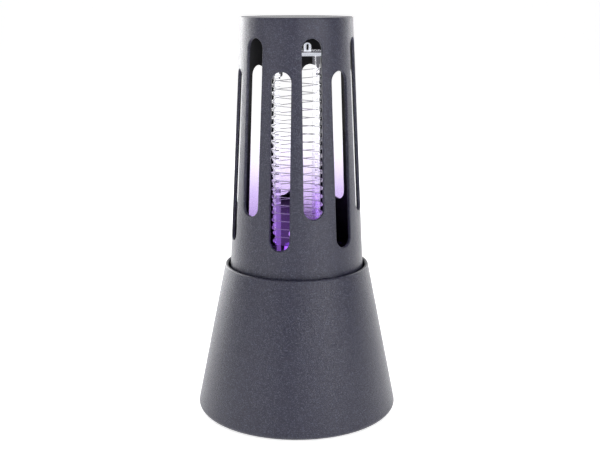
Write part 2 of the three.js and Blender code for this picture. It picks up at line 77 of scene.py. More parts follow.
# The air of the studio: bright behind and beside the lamp, dimmer on the camera's side.
world = bpy.data.worlds.new("studio air")
world.use_nodes = True
scene.world = world
air = world.node_tree
direction = air.nodes.new("ShaderNodeSeparateXYZ")
air.links.new(air.nodes.new("ShaderNodeTexCoord").outputs["Generated"], direction.inputs[0])
depth_share = air.nodes.new("ShaderNodeMapRange")
air.links.new(direction.outputs["Y"], depth_share.inputs["Value"])
for label, number in (("From Min", 0.35), ("From Max", 0.9), ("To Min", 0.25), ("To Max", 1.0)):
    depth_share.inputs[label].default_value = number
air.links.new(depth_share.outputs["Result"], air.nodes["Background"].inputs["Strength"])
air.nodes["Background"].inputs["Color"].default_value = (1, 1, 1, 1)


def softbox(name, place, size, power):
    """A rectangular area light that looks at the middle of the lamp."""
    data = bpy.data.lights.new(name, "AREA")
    data.shape = "RECTANGLE"
    data.size, data.size_y = size
    data.energy = power
    light = bpy.data.objects.new(name, data)
    light.location = place
    aim = Vector((0, 0, 0.12)) - Vector(place)
    light.rotation_euler = aim.to_track_quat("-Z", "Y").to_euler()
    scene.collection.objects.link(light)


softbox("overhead softbox", (0, 0.1, 1.5), (1.6, 1.6), 6)
softbox("left softbox", (-0.74, 0.84, 0.36), (0.8, 0.9), 12)
softbox("right softbox", (0.76, 0.95, 0.34), (0.7, 0.8), 4)
softbox("front right softbox", (0.68, -0.9, 0.5), (0.14, 1.0), 9.0)
softbox("front left softbox", (-0.88, -0.76, 0.5), (0.16, 1.0), 5.0)


def new_object(name, vertices, faces, edges=()):
    """A mesh object in the scene, made of plain points."""
    mesh = bpy.data.meshes.new(name)
    mesh.from_pydata([tuple(v) for v in vertices], list(edges), [tuple(f) for f in faces])
    made = bpy.data.objects.new(name, mesh)
    scene.collection.objects.link(made)
    return made


floor = new_object("floor", [(-90, -90, 0), (90, -90, 0), (90, 90, 0), (-90, 90, 0)], [(0, 1, 2, 3)])
floor_paint = bpy.data.materials.new("white studio floor")
floor_paint.use_nodes = True
paint = floor_paint.node_tree.nodes["Principled BSDF"].inputs
for label, value in (("Base Color", (0.80, 0.80, 0.805, 1)), ("Roughness", 0.9), ("Specular IOR Level", 0.1),
                     ("Emission Color", (1, 1, 1, 1)), ("Emission Strength", 0.70)):
    paint[label].default_value = value
floor.data.materials.append(floor_paint)
floor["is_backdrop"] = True


# ---- Base shell ---------------------------------------------------------------------------------
# One moulding of charcoal plastic with a fine spark-eroded texture: a hollow cone with a rounded
# rim, a deck a little below the rim, and a low ring on the deck that the guard slips over.

def arc(centre, radius, start, end, steps):
    """Points of an arc in an outline, [distance from the axis, height], from start to end degrees."""
    angles = [math.radians(start + (end - start) * i / steps) for i in range(steps + 1)]
    return [(centre[0] + radius * math.cos(a), centre[1] + radius * math.sin(a)) for a in angles]


def turned(outline, segments):
    """Vertices and faces of an outline turned round the Z axis. Points on the axis are shared."""
    vertices, rings, faces = [], [], []
    for r, z in outline:
        if r < 1e-6:
            rings.append([len(vertices)] * segments)
            vertices.append((0, 0, z * mm))
            continue
        rings.append(list(range(len(vertices), len(vertices) + segments)))
        for k in range(segments):
            a = 2 * math.pi * k / segments
            vertices.append((r * mm * math.cos(a), r * mm * math.sin(a), z * mm))
    for lower, upper in zip(rings, rings[1:]):
        for k in range(segments):
            n = (k + 1) % segments
            corners = [lower[k], lower[n], upper[n], upper[k]]
            corners = [c for i, c in enumerate(corners) if c != corners[i - 1]]
            if len(corners) > 2:
                faces.append(corners)
    return vertices, faces


def joined(*shapes):
    """Several (vertices, faces) put together as one."""
    vertices, faces = [], []
    for more_vertices, more_faces in shapes:
        faces += [tuple(i + len(vertices) for i in face) for face in more_faces]
        vertices += list(more_vertices)
    return vertices, faces


def new_piece(name, vertices, faces, material, sharp=32):
    """A closed mesh object with its faces outwards, smooth but for edges sharper than that angle."""
    made = new_object(name, vertices, faces)
    made.data.materials.append(material)
    close_up(made, sharp)
    return made


def close_up(piece, sharp):
    """Merges doubled points, turns the faces outwards and sets the smooth shading."""
    shape = bmesh.new()
    shape.from_mesh(piece.data)
    bmesh.ops.remove_doubles(shape, verts=shape.verts, dist=2e-6)
    bmesh.ops.recalc_face_normals(shape, faces=shape.faces)
    shape.to_mesh(piece.data)
    shape.free()
    for face in piece.data.polygons:
        face.use_smooth = True
    piece.data.set_sharp_from_angle(angle=math.radians(sharp))


def settle(piece):
    """Turns a piece's modifiers into its plain mesh."""
    depsgraph = bpy.context.evaluated_depsgraph_get()
    mesh = bpy.data.meshes.new_from_object(piece.evaluated_get(depsgraph))
    piece.modifiers.clear()
    piece.data = mesh


def join_or_cut(piece, tools, operation, sharp=32):
    """Joins other solids to a piece or cuts them out of it."""
    for tool in tools:
        boolean = piece.modifiers.new(operation.lower(), "BOOLEAN")
        boolean.operation = operation
        boolean.solver = "EXACT"
        boolean.object = tool
    settle(piece)
    for tool in tools:
        bpy.data.objects.remove(tool)
    close_up(piece, sharp)


def bands(rows, count, start=0):
    """Faces between closed rings of points, which are numbered ring after ring."""
    return [(a + i, a + (i + 1) % count, a + count + (i + 1) % count, a + count + i)
            for a in range(start, start + (rows - 1) * count, count) for i in range(count)]


def rounded_bar(width, height, radius, z0, z1, steps=6):
    """Vertices and faces of a bar along Z whose section is a rectangle with round corners."""
    section = []
    for k, (sx, sy) in enumerate([(1, 1), (-1, 1), (-1, -1), (1, -1)]):
        centre = (sx * (width / 2 - radius), sy * (height / 2 - radius))
        section += arc(centre, radius, 90 * k, 90 * k + 90, steps)
    n = len(section)
    vertices = [(x * mm, y * mm, z * mm) for z in (z0, z1) for x, y in section]
    return vertices, bands(2, n) + [tuple(range(n))[::-1], tuple(range(n, 2 * n))]


def tool_from(shape, matrix=Matrix.Identity(4)):
    """A cutting or joining solid for join_or_cut, put in place by a matrix."""
    made = new_object("tool", [matrix @ Vector(v) for v in shape[0]], shape[1])
    close_up(made, 30)
    return made


def rod(radius, z0, z1, segments=24):
    """Vertices and faces of a plain round rod along Z."""
    return turned([(0, z0), (radius, z0), (radius, z1), (0, z1)], segments)


def fit(piece, body, slot, *nodes):
    """The piece stands for its CAD nodes, which it hides, and rides on a body. The slot is not used."""
    if nodes:
        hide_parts(*nodes)
    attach(piece, body)


def shader_group(name, inputs, outputs):
    """An empty shader node group with named float or vector inputs and float outputs."""
    group = bpy.data.node_groups.new(name, "ShaderNodeTree")
    for label, kind, value in inputs:
        socket = group.interface.new_socket(label, in_out="INPUT", socket_type=kind)
        if value is not None:
            socket.default_value = value
    for label in outputs:
        group.interface.new_socket(label, in_out="OUTPUT", socket_type="NodeSocketFloat")
    return group, group.nodes.new("NodeGroupInput"), group.nodes.new("NodeGroupOutput")


def plug(tree, socket, value):
    """Feeds one socket from another, or sets it to a plain value."""
    if isinstance(value, bpy.types.NodeSocket):
        tree.links.new(value, socket)
    else:
        socket.default_value = value


def feed(tree, node, **inputs):
    """Feeds a node's inputs, named with _ for each space."""
    for key, value in inputs.items():
        plug(tree, node.inputs[key.replace("_", " ")], value)


def put(tree, kind, **inputs):
    """Adds a node to a tree and feeds its inputs."""
    node = tree.nodes.new(kind)
    feed(tree, node, **inputs)
    return node


def new_finish(name):
    """A new material: itself, its node tree, its Principled BSDF and the piece's own coordinates."""
    material = bpy.data.materials.new(name)
    material.use_nodes = True
    tree = material.node_tree
    place = tree.nodes.new("ShaderNodeTexCoord").outputs["Object"]
    return material, tree, tree.nodes["Principled BSDF"], place


def bump_from(tree, height, strength, depth):
    """The surface's normal, raised by a height map, with the depth in millimetres."""
    bump = put(tree, "ShaderNodeBump", Strength=strength, Distance=depth * mm, Height=height)
    return bump.outputs["Normal"]


def remap(tree, value, low, high, to_low, to_high):
    """Stretches a value from one range to another, and holds it there."""
    return put(tree, "ShaderNodeMapRange", Value=value, From_Min=low, From_Max=high,
               To_Min=to_low, To_Max=to_high).outputs["Result"]


def maths(tree, operation, first, second):
    """One Math node. Either value is a socket or a number."""
    node = tree.nodes.new("ShaderNodeMath")
    node.operation = operation
    plug(tree, node.inputs[0], first)
    plug(tree, node.inputs[1], second)
    return node.outputs[0]


def blend_colour(tree, mask, first, second):
    """Goes from the first colour to the second as the mask goes from 0 to 1."""
    node = put(tree, "ShaderNodeMix", Factor=mask)
    node.data_type = "RGBA"
    for socket, value in ((node.inputs[6], first), (node.inputs[7], second)):
        plug(tree, socket, (*value, 1) if isinstance(value, tuple) else value)
    return node.outputs[2]


# Moulded texture: fine rounded grain, a few bright flecks where a grain's tip catches the light,
# and broad faint clouds where the mould's surface is a little smoother.
grain_group, grain_in, grain_out = shader_group(
    "moulded texture",
    [("Vector", "NodeSocketVector", None), ("Scale", "NodeSocketFloat", 1500.0)],
    ["Height", "Flecks", "Clouds"],
)
grain_place, grain_scale = grain_in.outputs["Vector"], grain_in.outputs["Scale"]
coarse = put(grain_group, "ShaderNodeTexNoise", Vector=grain_place, Scale=grain_scale,
             Detail=3.0, Roughness=0.6)
cells = put(grain_group, "ShaderNodeTexVoronoi", Vector=grain_place,
            Scale=maths(grain_group, "MULTIPLY", grain_scale, 1.7))
pits = remap(grain_group, cells.outputs["Distance"], 0.0, 0.7, 1.0, 0.0)
tone = put(grain_group, "ShaderNodeSeparateColor", Color=cells.outputs["Color"])
bright = remap(grain_group, tone.outputs["Red"], 0.4, 1.0, 0.0, 1.0)
clouds = put(grain_group, "ShaderNodeTexNoise", Vector=grain_place, Scale=38.0, Detail=4.0)
feed(grain_group, grain_out,
     Height=maths(grain_group, "ADD", coarse.outputs["Fac"], maths(grain_group, "MULTIPLY", pits, 0.45)),
     Flecks=maths(grain_group, "MULTIPLY", bright, pits),
     Clouds=remap(grain_group, clouds.outputs["Fac"], 0.35, 0.65, 0.0, 1.0))

# Edge masks: one rises on outer edges, broken up by noise, for rubbing and a painted highlight, and one rises
# in hollow corners, for painted shade.
wear_and_shade_group, wear_and_shade_in, wear_and_shade_out = shader_group(
    "edge wear",
    [("Vector", "NodeSocketVector", None), ("Start", "NodeSocketFloat", 0.53)],
    ["Edges", "Hollows"],
)
point = put(wear_and_shade_group, "ShaderNodeNewGeometry").outputs["Pointiness"]
rub_and_glint_noise = put(wear_and_shade_group, "ShaderNodeTexNoise", Vector=wear_and_shade_in.outputs["Vector"], Scale=260.0, Detail=5.0)
ridge = remap(wear_and_shade_group, point, wear_and_shade_in.outputs["Start"], 0.62, 0.0, 1.0)
broken = remap(wear_and_shade_group, rub_and_glint_noise.outputs["Fac"], 0.38, 0.6, 0.0, 1.0)
feed(wear_and_shade_group, wear_and_shade_out, Edges=maths(wear_and_shade_group, "MULTIPLY", ridge, broken),
     Hollows=remap(wear_and_shade_group, point, 0.47, 0.38, 0.0, 1.0))


def place_group(tree, group, place, **values):
    """Puts a shader group in a material, laid on the given coordinates."""
    node = tree.nodes.new("ShaderNodeGroup")
    node.node_tree = group
    feed(tree, node, Vector=place, **values)
    return node


def moulded_plastic(name, colour, lighter, roughness, grain, depth, fleck=0.0):
    """A textured moulding: base colour, a lighter colour for painted glints and for rubbed, highlighted
    edges, roughness range, grain size and bump depth.
    """
    material, tree, surface, place = new_finish(name)
    grain_here = place_group(tree, grain_group, place, Scale=grain)
    wear_and_shade = place_group(tree, wear_and_shade_group, place)
    mottled = blend_colour(tree, grain_here.outputs["Clouds"], colour, tuple(c * 1.06 for c in colour))
    # Painted light: the flecks are painted glints, and the edge mask lightens outer edges as rubbing and as a
    # painted highlight.
    fleck_glints = maths(tree, "MULTIPLY", grain_here.outputs["Flecks"], fleck)
    edges = maths(tree, "MULTIPLY", wear_and_shade.outputs["Edges"], 0.5)
    raised = maths(tree, "MAXIMUM", fleck_glints, edges)
    worn_and_glinting = blend_colour(tree, raised, mottled, lighter)
    # Hollow corners are darkened: painted shade.
    shaded_in_hollow_corners = blend_colour(tree, maths(tree, "MULTIPLY", wear_and_shade.outputs["Hollows"], 0.35), worn_and_glinting,
                         tuple(c * 0.55 for c in colour))
    gloss = remap(tree, grain_here.outputs["Clouds"], 0.0, 1.0, *roughness)
    feed(tree, surface, Base_Color=shaded_in_hollow_corners, Specular_IOR_Level=0.44,
         Roughness=maths(tree, "SUBTRACT", gloss, maths(tree, "MULTIPLY", edges, 0.12)),
         Normal=bump_from(tree, grain_here.outputs["Height"], 0.6, depth))
    return material


charcoal = moulded_plastic("charcoal textured plastic", (0.0105, 0.0102, 0.025), (0.105, 0.11, 0.165),
                           (0.285, 0.305), 1250.0, 0.38, fleck=1.0)

base_low, base_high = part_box("base_shell")
FOOT_R = base_high.x / mm
EDGE_Z = base_low.z / mm
RIM_Z = base_high.z / mm
RIM_R = 45.8
WALL = 2.4
SLOPE = (FOOT_R - RIM_R) / (RIM_Z - EDGE_Z)
DECK_Z = 80.5
SEAT_Z = 83.7
RING_R = 40.0
RING_Z = 88.0
SCREW_CIRCLE = 55.0


def base_radius(z):
    """Outside radius of the cone at a height."""
    return RIM_R + (RIM_Z - z) * SLOPE


def base_outline():
    """The shell's section: deck, inside, foot edge, rim, seat of the guard and its ring."""
    deck_under = DECK_Z - 2.5
    inside = lambda z: base_radius(z) - WALL
    tilt = math.degrees(math.atan(SLOPE))
    outer_foot = arc((FOOT_R - 3.0, EDGE_Z + 3.0), 3.0, -80, 4, 12)
    rim = arc((RIM_R - 1.2, RIM_Z - 1.2), 1.2, tilt, 180, 12)
    return [
        (6, DECK_Z), (6, deck_under), (inside(deck_under), deck_under), (inside(EDGE_Z), EDGE_Z),
        *[(r, max(z, EDGE_Z)) for r, z in outer_foot], *rim,
        (inside(SEAT_Z), SEAT_Z), (RING_R, SEAT_Z), (RING_R, RING_Z - 0.4),
        (RING_R - 0.4, RING_Z), (RING_R - 1.1, RING_Z), (RING_R - 1.5, RING_Z - 0.4),
        (RING_R - 1.5, DECK_Z), (6, DECK_Z),
    ]


def back_wall(z):
    """A frame on the back of the cone at that height: its Z points out of the wall."""
    turn = Matrix.Rotation(-math.pi / 2 + math.atan(SLOPE), 4, "X")
    return Matrix.Translation((0, base_radius(z) * mm, z * mm)) @ turn


BUTTON_Z = 42.0
BUTTON_R = 5.5
PORT_Z = 17.5
base = new_piece("base_cone", *turned(base_outline(), 144), charcoal, sharp=40)
boss_places = [(math.radians(45 + 90 * k), SCREW_CIRCLE * mm) for k in range(4)]
bosses = [tool_from(rod(4, 3.9, 24), Matrix.Translation((r * math.cos(a), r * math.sin(a), 0)))
          for a, r in boss_places]
join_or_cut(base, bosses, "UNION", sharp=40)
holes = [
    tool_from(rod(BUTTON_R + 0.3, -8, 8, 48), back_wall(BUTTON_Z)),
    tool_from(rounded_bar(12, 6.4, 1.4, -8, 8), back_wall(PORT_Z)),
]
join_or_cut(base, holes, "DIFFERENCE", sharp=40)
fit(base, "root", "charcoal_body", "base_shell")


# ---- Underside ----------------------------------------------------------------------------------
# A black cover closes the base from below. Four pan-head screws hold it to the bosses of the shell,
# and four rubber feet are pressed into it. Six hollow posts on it carry the circuit boards.

def smooth_finish(name, colour, other, roughness, scale, depth=0.02, metallic=0.0, coat=0.0):
    """A plain surface with a slow change of tone, painted shade in its hollow corners, faint marks in its
    gloss and a fine bump.
    """
    material, tree, surface, place = new_finish(name)
    tone = put(tree, "ShaderNodeTexNoise", Vector=place, Scale=scale, Detail=6.0, Roughness=0.62)
    marks = put(tree, "ShaderNodeTexNoise", Vector=place, Scale=scale * 6, Detail=3.0).outputs["Fac"]
    wear_and_shade = place_group(tree, wear_and_shade_group, place)
    mixed = blend_colour(tree, remap(tree, tone.outputs["Fac"], 0.36, 0.64, 0.0, 1.0), colour, other)
    # Hollow corners are darkened: painted shade.
    hollow_shade = maths(tree, "MULTIPLY", wear_and_shade.outputs["Hollows"], 0.4)
    feed(tree, surface, Base_Color=blend_colour(tree, hollow_shade, mixed, tuple(c * 0.4 for c in colour)),
         Roughness=remap(tree, marks, 0.38, 0.62, *roughness), Metallic=metallic, Coat_Weight=coat,
         Normal=bump_from(tree, marks, 0.5, depth))
    return material


def carry_over(slot_name, material, *nodes):
    """CAD pieces that are shown as they are, with a finished material."""
    for name in nodes:
        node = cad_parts[name]
        node.data.materials.clear()
        node.data.materials.append(material)
        node.data.set_sharp_from_angle(angle=math.radians(30))


def placed(shape, *spots):
    """Copies of a shape at spots given in millimetres, as one shape."""
    copies = []
    for x, y, z in spots:
        copies.append(([(v[0] + x * mm, v[1] + y * mm, v[2] + z * mm) for v in shape[0]], shape[1]))
    return joined(*copies)


def set_round(shape, radius, count, start=0.0):
    """Copies of a shape set round the Z axis, the first at the front and the rest towards +X."""
    copies = []
    for k in range(count):
        a = math.radians(start + 360 * k / count)
        turn = Matrix.Rotation(a, 4, "Z") @ Matrix.Translation((0, -radius * mm, 0))
        copies.append(([turn @ Vector(v) for v in shape[0]], shape[1]))
    return joined(*copies)


def new_tree(name, *inputs):
    """An empty Geometry Nodes tree: it takes a shape, the named inputs and a material."""
    tree = bpy.data.node_groups.new(name, "GeometryNodeTree")
    ends = ("Geometry", "NodeSocketGeometry", None), ("Material", "NodeSocketMaterial", None)
    for label, kind, value in (ends[0], *inputs, ends[1]):
        socket = tree.interface.new_socket(label, in_out="INPUT", socket_type=kind)
        if value is not None:
            socket.default_value = value
    tree.interface.new_socket("Geometry", in_out="OUTPUT", socket_type="NodeSocketGeometry")
    return tree, tree.nodes.new("NodeGroupInput").outputs


def end_tree(tree, shape):
    """Gives the shape its material and puts it out."""
    finish = put(tree, "GeometryNodeSetMaterial", Geometry=shape,
                 Material=tree.nodes["Group Input"].outputs["Material"])
    put(tree, "NodeGroupOutput", Geometry=finish.outputs[0])
    return tree


def spin_copies_tree():
    """Geometry Nodes: copies of a piece set round the Z axis, merged where they meet."""
    tree, given = new_tree("copies round the axis", ("Count", "NodeSocketInt", 6),
                           ("Merge Distance", "NodeSocketFloat", 2e-5))
    points = put(tree, "GeometryNodePoints", Count=given["Count"])
    step = maths(tree, "DIVIDE", 2 * math.pi, given["Count"])
    turn = maths(tree, "MULTIPLY", put(tree, "GeometryNodeInputIndex").outputs[0], step)
    axis = put(tree, "ShaderNodeCombineXYZ", Z=turn)
    copies = put(tree, "GeometryNodeInstanceOnPoints", Points=points.outputs[0],
                 Instance=given["Geometry"], Rotation=axis.outputs[0])
    real = put(tree, "GeometryNodeRealizeInstances", Geometry=copies.outputs[0])
    merged = put(tree, "GeometryNodeMergeByDistance", Geometry=real.outputs[0],
                 Distance=given["Merge Distance"])
    return end_tree(tree, merged.outputs[0])


def run_tree(piece, tree, **values):
    """Runs a Geometry Nodes tree on a piece and keeps the result as its plain mesh."""
    nodes = piece.modifiers.new(tree.name, "NODES")
    nodes.node_group = tree
    sockets = {item.name: item.identifier for item in tree.interface.items_tree if item.in_out == "INPUT"}
    for key, value in values.items():
        nodes[sockets[key.replace("_", " ")]] = value
    settle(piece)


spin_copies = spin_copies_tree()


def spin(piece, count, material, sharp=32):
    """Turns a piece into copies of it, set round the Z axis."""
    run_tree(piece, spin_copies, Count=count, Material=material)
    close_up(piece, sharp)


def shape_of(piece):
    """Takes a piece's vertices and faces out of it and removes the piece."""
    mesh = piece.data
    shape = ([tuple(v.co) for v in mesh.vertices], [tuple(f.vertices) for f in mesh.polygons])
    bpy.data.objects.remove(piece)
    return shape


black_plastic = moulded_plastic("black moulded plastic", (0.016, 0.016, 0.019), (0.07, 0.07, 0.08),
                                (0.42, 0.55), 2200.0, 0.05)
steel = smooth_finish("bright steel", (0.66, 0.66, 0.68), (0.48, 0.48, 0.5), (0.16, 0.34), 900.0, 0.01, 1.0)
rubber = smooth_finish("black rubber", (0.014, 0.014, 0.015), (0.026, 0.026, 0.027), (0.72, 0.9), 500.0, 0.03)

MAIN_HOLES = [(-32, -8, 0), (32, -8, 0), (-32, 32, 0), (32, 32, 0)]
BOARD_HOLES = MAIN_HOLES + [(-8, 41, 0), (8, 41, 0)]
FOOT_CIRCLE = 47.0
cover_low, cover_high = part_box("bottom_cover")
COVER_Z = cover_low.z / mm
COVER_R = cover_high.x / mm
cover_outline = [
    (0, COVER_Z + 0.3), (30, COVER_Z + 0.3), (30.4, COVER_Z), (COVER_R - 0.5, COVER_Z),
    (COVER_R, COVER_Z + 0.5), (COVER_R - 0.2, COVER_Z + 2.0), (0, COVER_Z + 2.0),
]
cover = new_piece("cover_plate", *turned(cover_outline, 120), black_plastic)
posts = placed(rod(2.4, COVER_Z + 1, 12.3), *BOARD_HOLES)
join_or_cut(cover, [tool_from(posts)], "UNION")
holes = joined(
    set_round(rod(1.8, 0, 6), SCREW_CIRCLE, 4, 45), set_round(rod(2.1, 0, 6), FOOT_CIRCLE, 4),
    placed(rod(1.2, COVER_Z + 3, 14), *BOARD_HOLES),
)
join_or_cut(cover, [tool_from(holes)], "DIFFERENCE")
fit(cover, "root", "black_plastic", "bottom_cover")

pad = turned([(0, 0.25), (2.6, 0.25), (2.9, 0), (4.9, 0), (5.5, 0.15), (5.9, 0.5), (6, 0.8), (6, 1.3),
              (1.8, 1.3), (1.8, 2.2), (1.8, 3.7), (2.0, 3.95), (1.2, 4.4), (0, 4.4)], 48)
feet = new_piece("rubber_feet", *placed(pad, (0, -FOOT_CIRCLE, 0)), rubber)
spin(feet, 4, rubber)
fit(feet, "root", "foot_rubber", "foot_1", "foot_2", "foot_3", "foot_4")


def pan_screw(shank, length, head):
    """A self-tapping screw pointing up: rounded head with a cross recess, and a threaded shank."""
    core, pitch, sides = shank * 0.78, 0.9, 20
    dome = [(0, -0.95), (head * 0.4, -0.93), (head * 0.7, -0.8), (head * 0.92, -0.55), (head, -0.3),
            (head, 0), (core, 0), (core, 0.5)]
    vertices, faces = turned(dome, sides)
    start = len(vertices) - sides
    rows = int((length - 1.8) / pitch * 5)
    for i in range(rows + 1):
        z = 0.5 + (length - 1.8) * i / rows
        for k in range(sides):
            a = 2 * math.pi * k / sides
            turns = (z / pitch - k / sides) % 1.0
            r = core + (shank - core) * max(0.0, 1 - abs(turns - 0.5) / 0.3)
            vertices.append((r * mm * math.cos(a), r * mm * math.sin(a), (z + 0.15) * mm))
    vertices.append((0, 0, length * mm))
    faces += bands(rows + 2, sides, start)
    last = start + (rows + 1) * sides
    faces += [(last + k, last + (k + 1) % sides, len(vertices) - 1) for k in range(sides)]
    made = new_piece("screw", vertices, faces, steel)
    cross = rounded_bar(head * 1.1, 0.5, 0.1, -1.4, -0.35, 2)
    turn = Matrix.Rotation(math.pi / 2, 4, "Z")
    join_or_cut(made, [tool_from(cross), tool_from(cross, turn)], "DIFFERENCE")
    return shape_of(made)


cover_screw = set_round(pan_screw(1.5, 13.5, 2.8), SCREW_CIRCLE, 1, 45)
cover_screws = new_piece("cover_screws", *placed(cover_screw, (0, 0, 1.3)), steel)
spin(cover_screws, 4, steel)
fit(cover_screws, "root", "steel", *[f"cover_screw_{k}" for k in range(1, 5)])


# ---- Main board ---------------------------------------------------------------------------------
# The high-voltage supply: a green circuit board with a small transformer and two film capacitors
# of its own, and the small chips, diodes and resistors that drive them.

def board_finish(name, green, track):
    """Solder mask over copper tracks: rows of blocks make the tracks, and their edges stand up."""
    material, tree, surface, place = new_finish(name)
    tracks = put(tree, "ShaderNodeTexBrick", Vector=place, Scale=240.0, Mortar_Size=0.07, Bias=0.0,
                 Brick_Width=2.6, Row_Height=0.5).outputs["Fac"]
    dots = put(tree, "ShaderNodeTexVoronoi", Vector=place, Scale=330.0, Randomness=0.35)
    vias = remap(tree, dots.outputs["Distance"], 0.16, 0.13, 0.0, 1.0)
    copper = blend_colour(tree, tracks, green, track)
    feed(tree, surface, Base_Color=blend_colour(tree, vias, copper, (0.45, 0.42, 0.3)),
         Roughness=remap(tree, tracks, 0.0, 1.0, 0.34, 0.26),
         Normal=bump_from(tree, maths(tree, "MAXIMUM", tracks, vias), 0.5, 0.03))
    return material


def box_shape(x0, x1, y0, y1, z0, z1, edge=0.2):
    """A box with round upright edges and softened upper ones."""
    w, d = x1 - x0, y1 - y0
    corner = max(edge * 1.5, 0.05)
    rings = [(0, z0), (0, z1 - edge), (edge * 0.3, z1 - edge * 0.3), (edge, z1)]
    vertices = []
    for inset, z in rings:
        ring, _ = rounded_bar(w - 2 * inset, d - 2 * inset, corner, z, z, 2)
        half = ring[:len(ring) // 2]
        vertices += [(v[0] + (x0 + x1) / 2 * mm, v[1] + (y0 + y1) / 2 * mm, v[2]) for v in half]
    n = len(vertices) // len(rings)
    top = (len(rings) - 1) * n
    return vertices, bands(len(rings), n) + [tuple(range(n))[::-1], tuple(range(top, top + n))]


def add_shapes(name, material, *shapes):
    """One piece made of several shapes."""
    return new_piece(name, *joined(*shapes), material)


green_board = board_finish("green circuit board", (0.012, 0.10, 0.045), (0.02, 0.17, 0.07))
chip_black = smooth_finish("black epoxy", (0.02, 0.02, 0.022), (0.03, 0.03, 0.032), (0.4, 0.55), 800.0)
ferrite = smooth_finish("grey ferrite", (0.07, 0.068, 0.07), (0.10, 0.098, 0.1), (0.55, 0.75), 400.0, 0.05)
tape = smooth_finish("yellow winding tape", (0.62, 0.42, 0.06), (0.7, 0.5, 0.1), (0.25, 0.4), 260.0)
film = smooth_finish("red film capacitor", (0.36, 0.035, 0.02), (0.45, 0.055, 0.03), (0.22, 0.38),
                     300.0, 0.04)

board_low, board_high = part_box("main_board")
BOARD_Z0, BOARD_Z1 = board_low.z / mm, board_high.z / mm
board = add_shapes("supply_board", green_board, box_shape(-36, 36, -12, 36, BOARD_Z0, BOARD_Z1, 0.15))
drill = placed(rod(1.3, BOARD_Z0 - 1, BOARD_Z1 + 1), *MAIN_HOLES)
join_or_cut(board, [tool_from(drill)], "DIFFERENCE")
fit(board, "root", "circuit_board", "main_board")

low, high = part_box("transformer")
cx, cy, z0 = (low.x + high.x) / 2 / mm, (low.y + high.y) / 2 / mm, low.z / mm
yoke_and_legs = [(-9, 9, 11.4, 15, 0.4), (-9, -5.4, 2.2, 11.4, 0.3), (5.4, 9, 2.2, 11.4, 0.3),
                 (-9, 9, 0.8, 2.2, 0.1)]
core = add_shapes("transformer_core", ferrite, *[
    box_shape(cx + left, cx + right, cy - 5, cy + 5, z0 + under, z0 + over, edge)
    for left, right, under, over, edge in yoke_and_legs])
fit(core, "root", "ferrite", "transformer")
coil = add_shapes("transformer_coil", tape,
                  box_shape(cx - 5.1, cx + 5.1, cy - 7, cy + 7, z0 + 3.4, z0 + 11.2, 1.2))
fit(coil, "root", "ferrite")
bobbin = add_shapes("transformer_bobbin", chip_black,
                    box_shape(cx - 5.3, cx + 5.3, cy - 8, cy + 8, z0, z0 + 0.7, 0.1),
                    box_shape(cx - 5.3, cx + 5.3, cy - 8, cy + 8, z0 + 2.3, z0 + 3.3, 0.2))
fit(bobbin, "root", "black_plastic")

for name in ("hv_capacitor_1", "hv_capacitor_2"):
    low, high = [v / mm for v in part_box(name)]
    middle = (low.x + high.x) / 2
    case = box_shape(low.x, high.x, low.y, high.y, low.z + 0.5, high.z, 0.9)
    pads = [box_shape(middle - 0.9, middle + 0.9, y - 0.7, y + 0.7, low.z, low.z + 0.6, 0.1)
            for y in (low.y + 2, high.y - 2)]
    body = add_shapes(name + "_case", film, case, *pads)
    fit(body, "root", "capacitor_film", name)

chips = [box_shape(x, x + w, y, y + d, BOARD_Z1, BOARD_Z1 + h, 0.15) for x, y, w, d, h in
         [(-4, -6, 5, 4, 1.5), (8, -8, 4, 4, 1.2), (18, -6, 6.4, 3.6, 2.2), (-22, -6, 6.4, 3.6, 2.2)]]
chip_piece = add_shapes("board_chips", chip_black, *chips)
fit(chip_piece, "root", "black_plastic")
spots = [(-14 + 3.1 * i, 1.5 + (i % 3) * 2.4) for i in range(12)] + [(26, 4 + 3 * i) for i in range(8)]
small = [box_shape(x, x + 1.6, y, y + 0.8, BOARD_Z1, BOARD_Z1 + 0.55, 0.08) for x, y in spots]
small_piece = add_shapes("board_resistors", steel, *small)
fit(small_piece, "root", "steel")

board_screws = new_piece("board_screws", *placed(pan_screw(1.15, 6.0, 1.9), *BOARD_HOLES), steel)
flip = Matrix.Translation((0, 0, (BOARD_Z1 + 0.3) * mm)) @ Matrix.Scale(-1, 4, (0, 0, 1))
board_screws.data.transform(flip)
close_up(board_screws, 32)
fit(board_screws, "root", "steel", *[f"board_screw_{k}" for k in range(1, 7)])


# ---- Battery ------------------------------------------------------------------------------------
# One round rechargeable cell in a black cradle. Its wrap is blue shrink film, drawn in over both
# ends, and a bent steel plate touches it at each end.

wrap = smooth_finish("blue shrink wrap", (0.03, 0.13, 0.42), (0.04, 0.17, 0.5), (0.18, 0.32),
                     90.0, 0.03, coat=0.3)
low, high = [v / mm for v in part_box("battery")]
cell_r = (high.z - low.z) / 2
half = (high.x - low.x) / 2
cell_outline = [
    (0, -half + 0.3), (cell_r - 2.6, -half + 0.3), (cell_r - 2.2, -half), (cell_r - 0.9, -half),
    *arc((cell_r - 0.8, -half + 0.8), 0.8, -80, 0, 6), (cell_r, half - 4.0), (cell_r - 0.35, half - 3.4),
    (cell_r - 0.35, half - 2.9), (cell_r, half - 2.4), *arc((cell_r - 0.7, half - 2.0), 0.7, 0, 90, 5),
    (cell_r - 2.4, half - 1.3), (cell_r - 2.8, half - 1.6), (3.2, half - 1.6), (2.9, half - 0.2),
    (2.6, half), (0, half),
]
cell = new_piece("cell", *turned(cell_outline, 72), wrap)
cell.data.transform(Matrix.Translation((0, (low.y + high.y) / 2 * mm, (low.z + high.z) / 2 * mm))
                    @ Matrix.Rotation(math.pi / 2, 4, "Y"))
fit(cell, "root", "battery_wrap", "battery")
carry_over("black_plastic", black_plastic, "battery_holder")
carry_over("steel", steel, "battery_contact_1", "battery_contact_2")


# ---- Charging inlet -----------------------------------------------------------------------------
# A second small board at the back carries a metal charging socket, whose mouth faces the opening
# in the wall of the base.

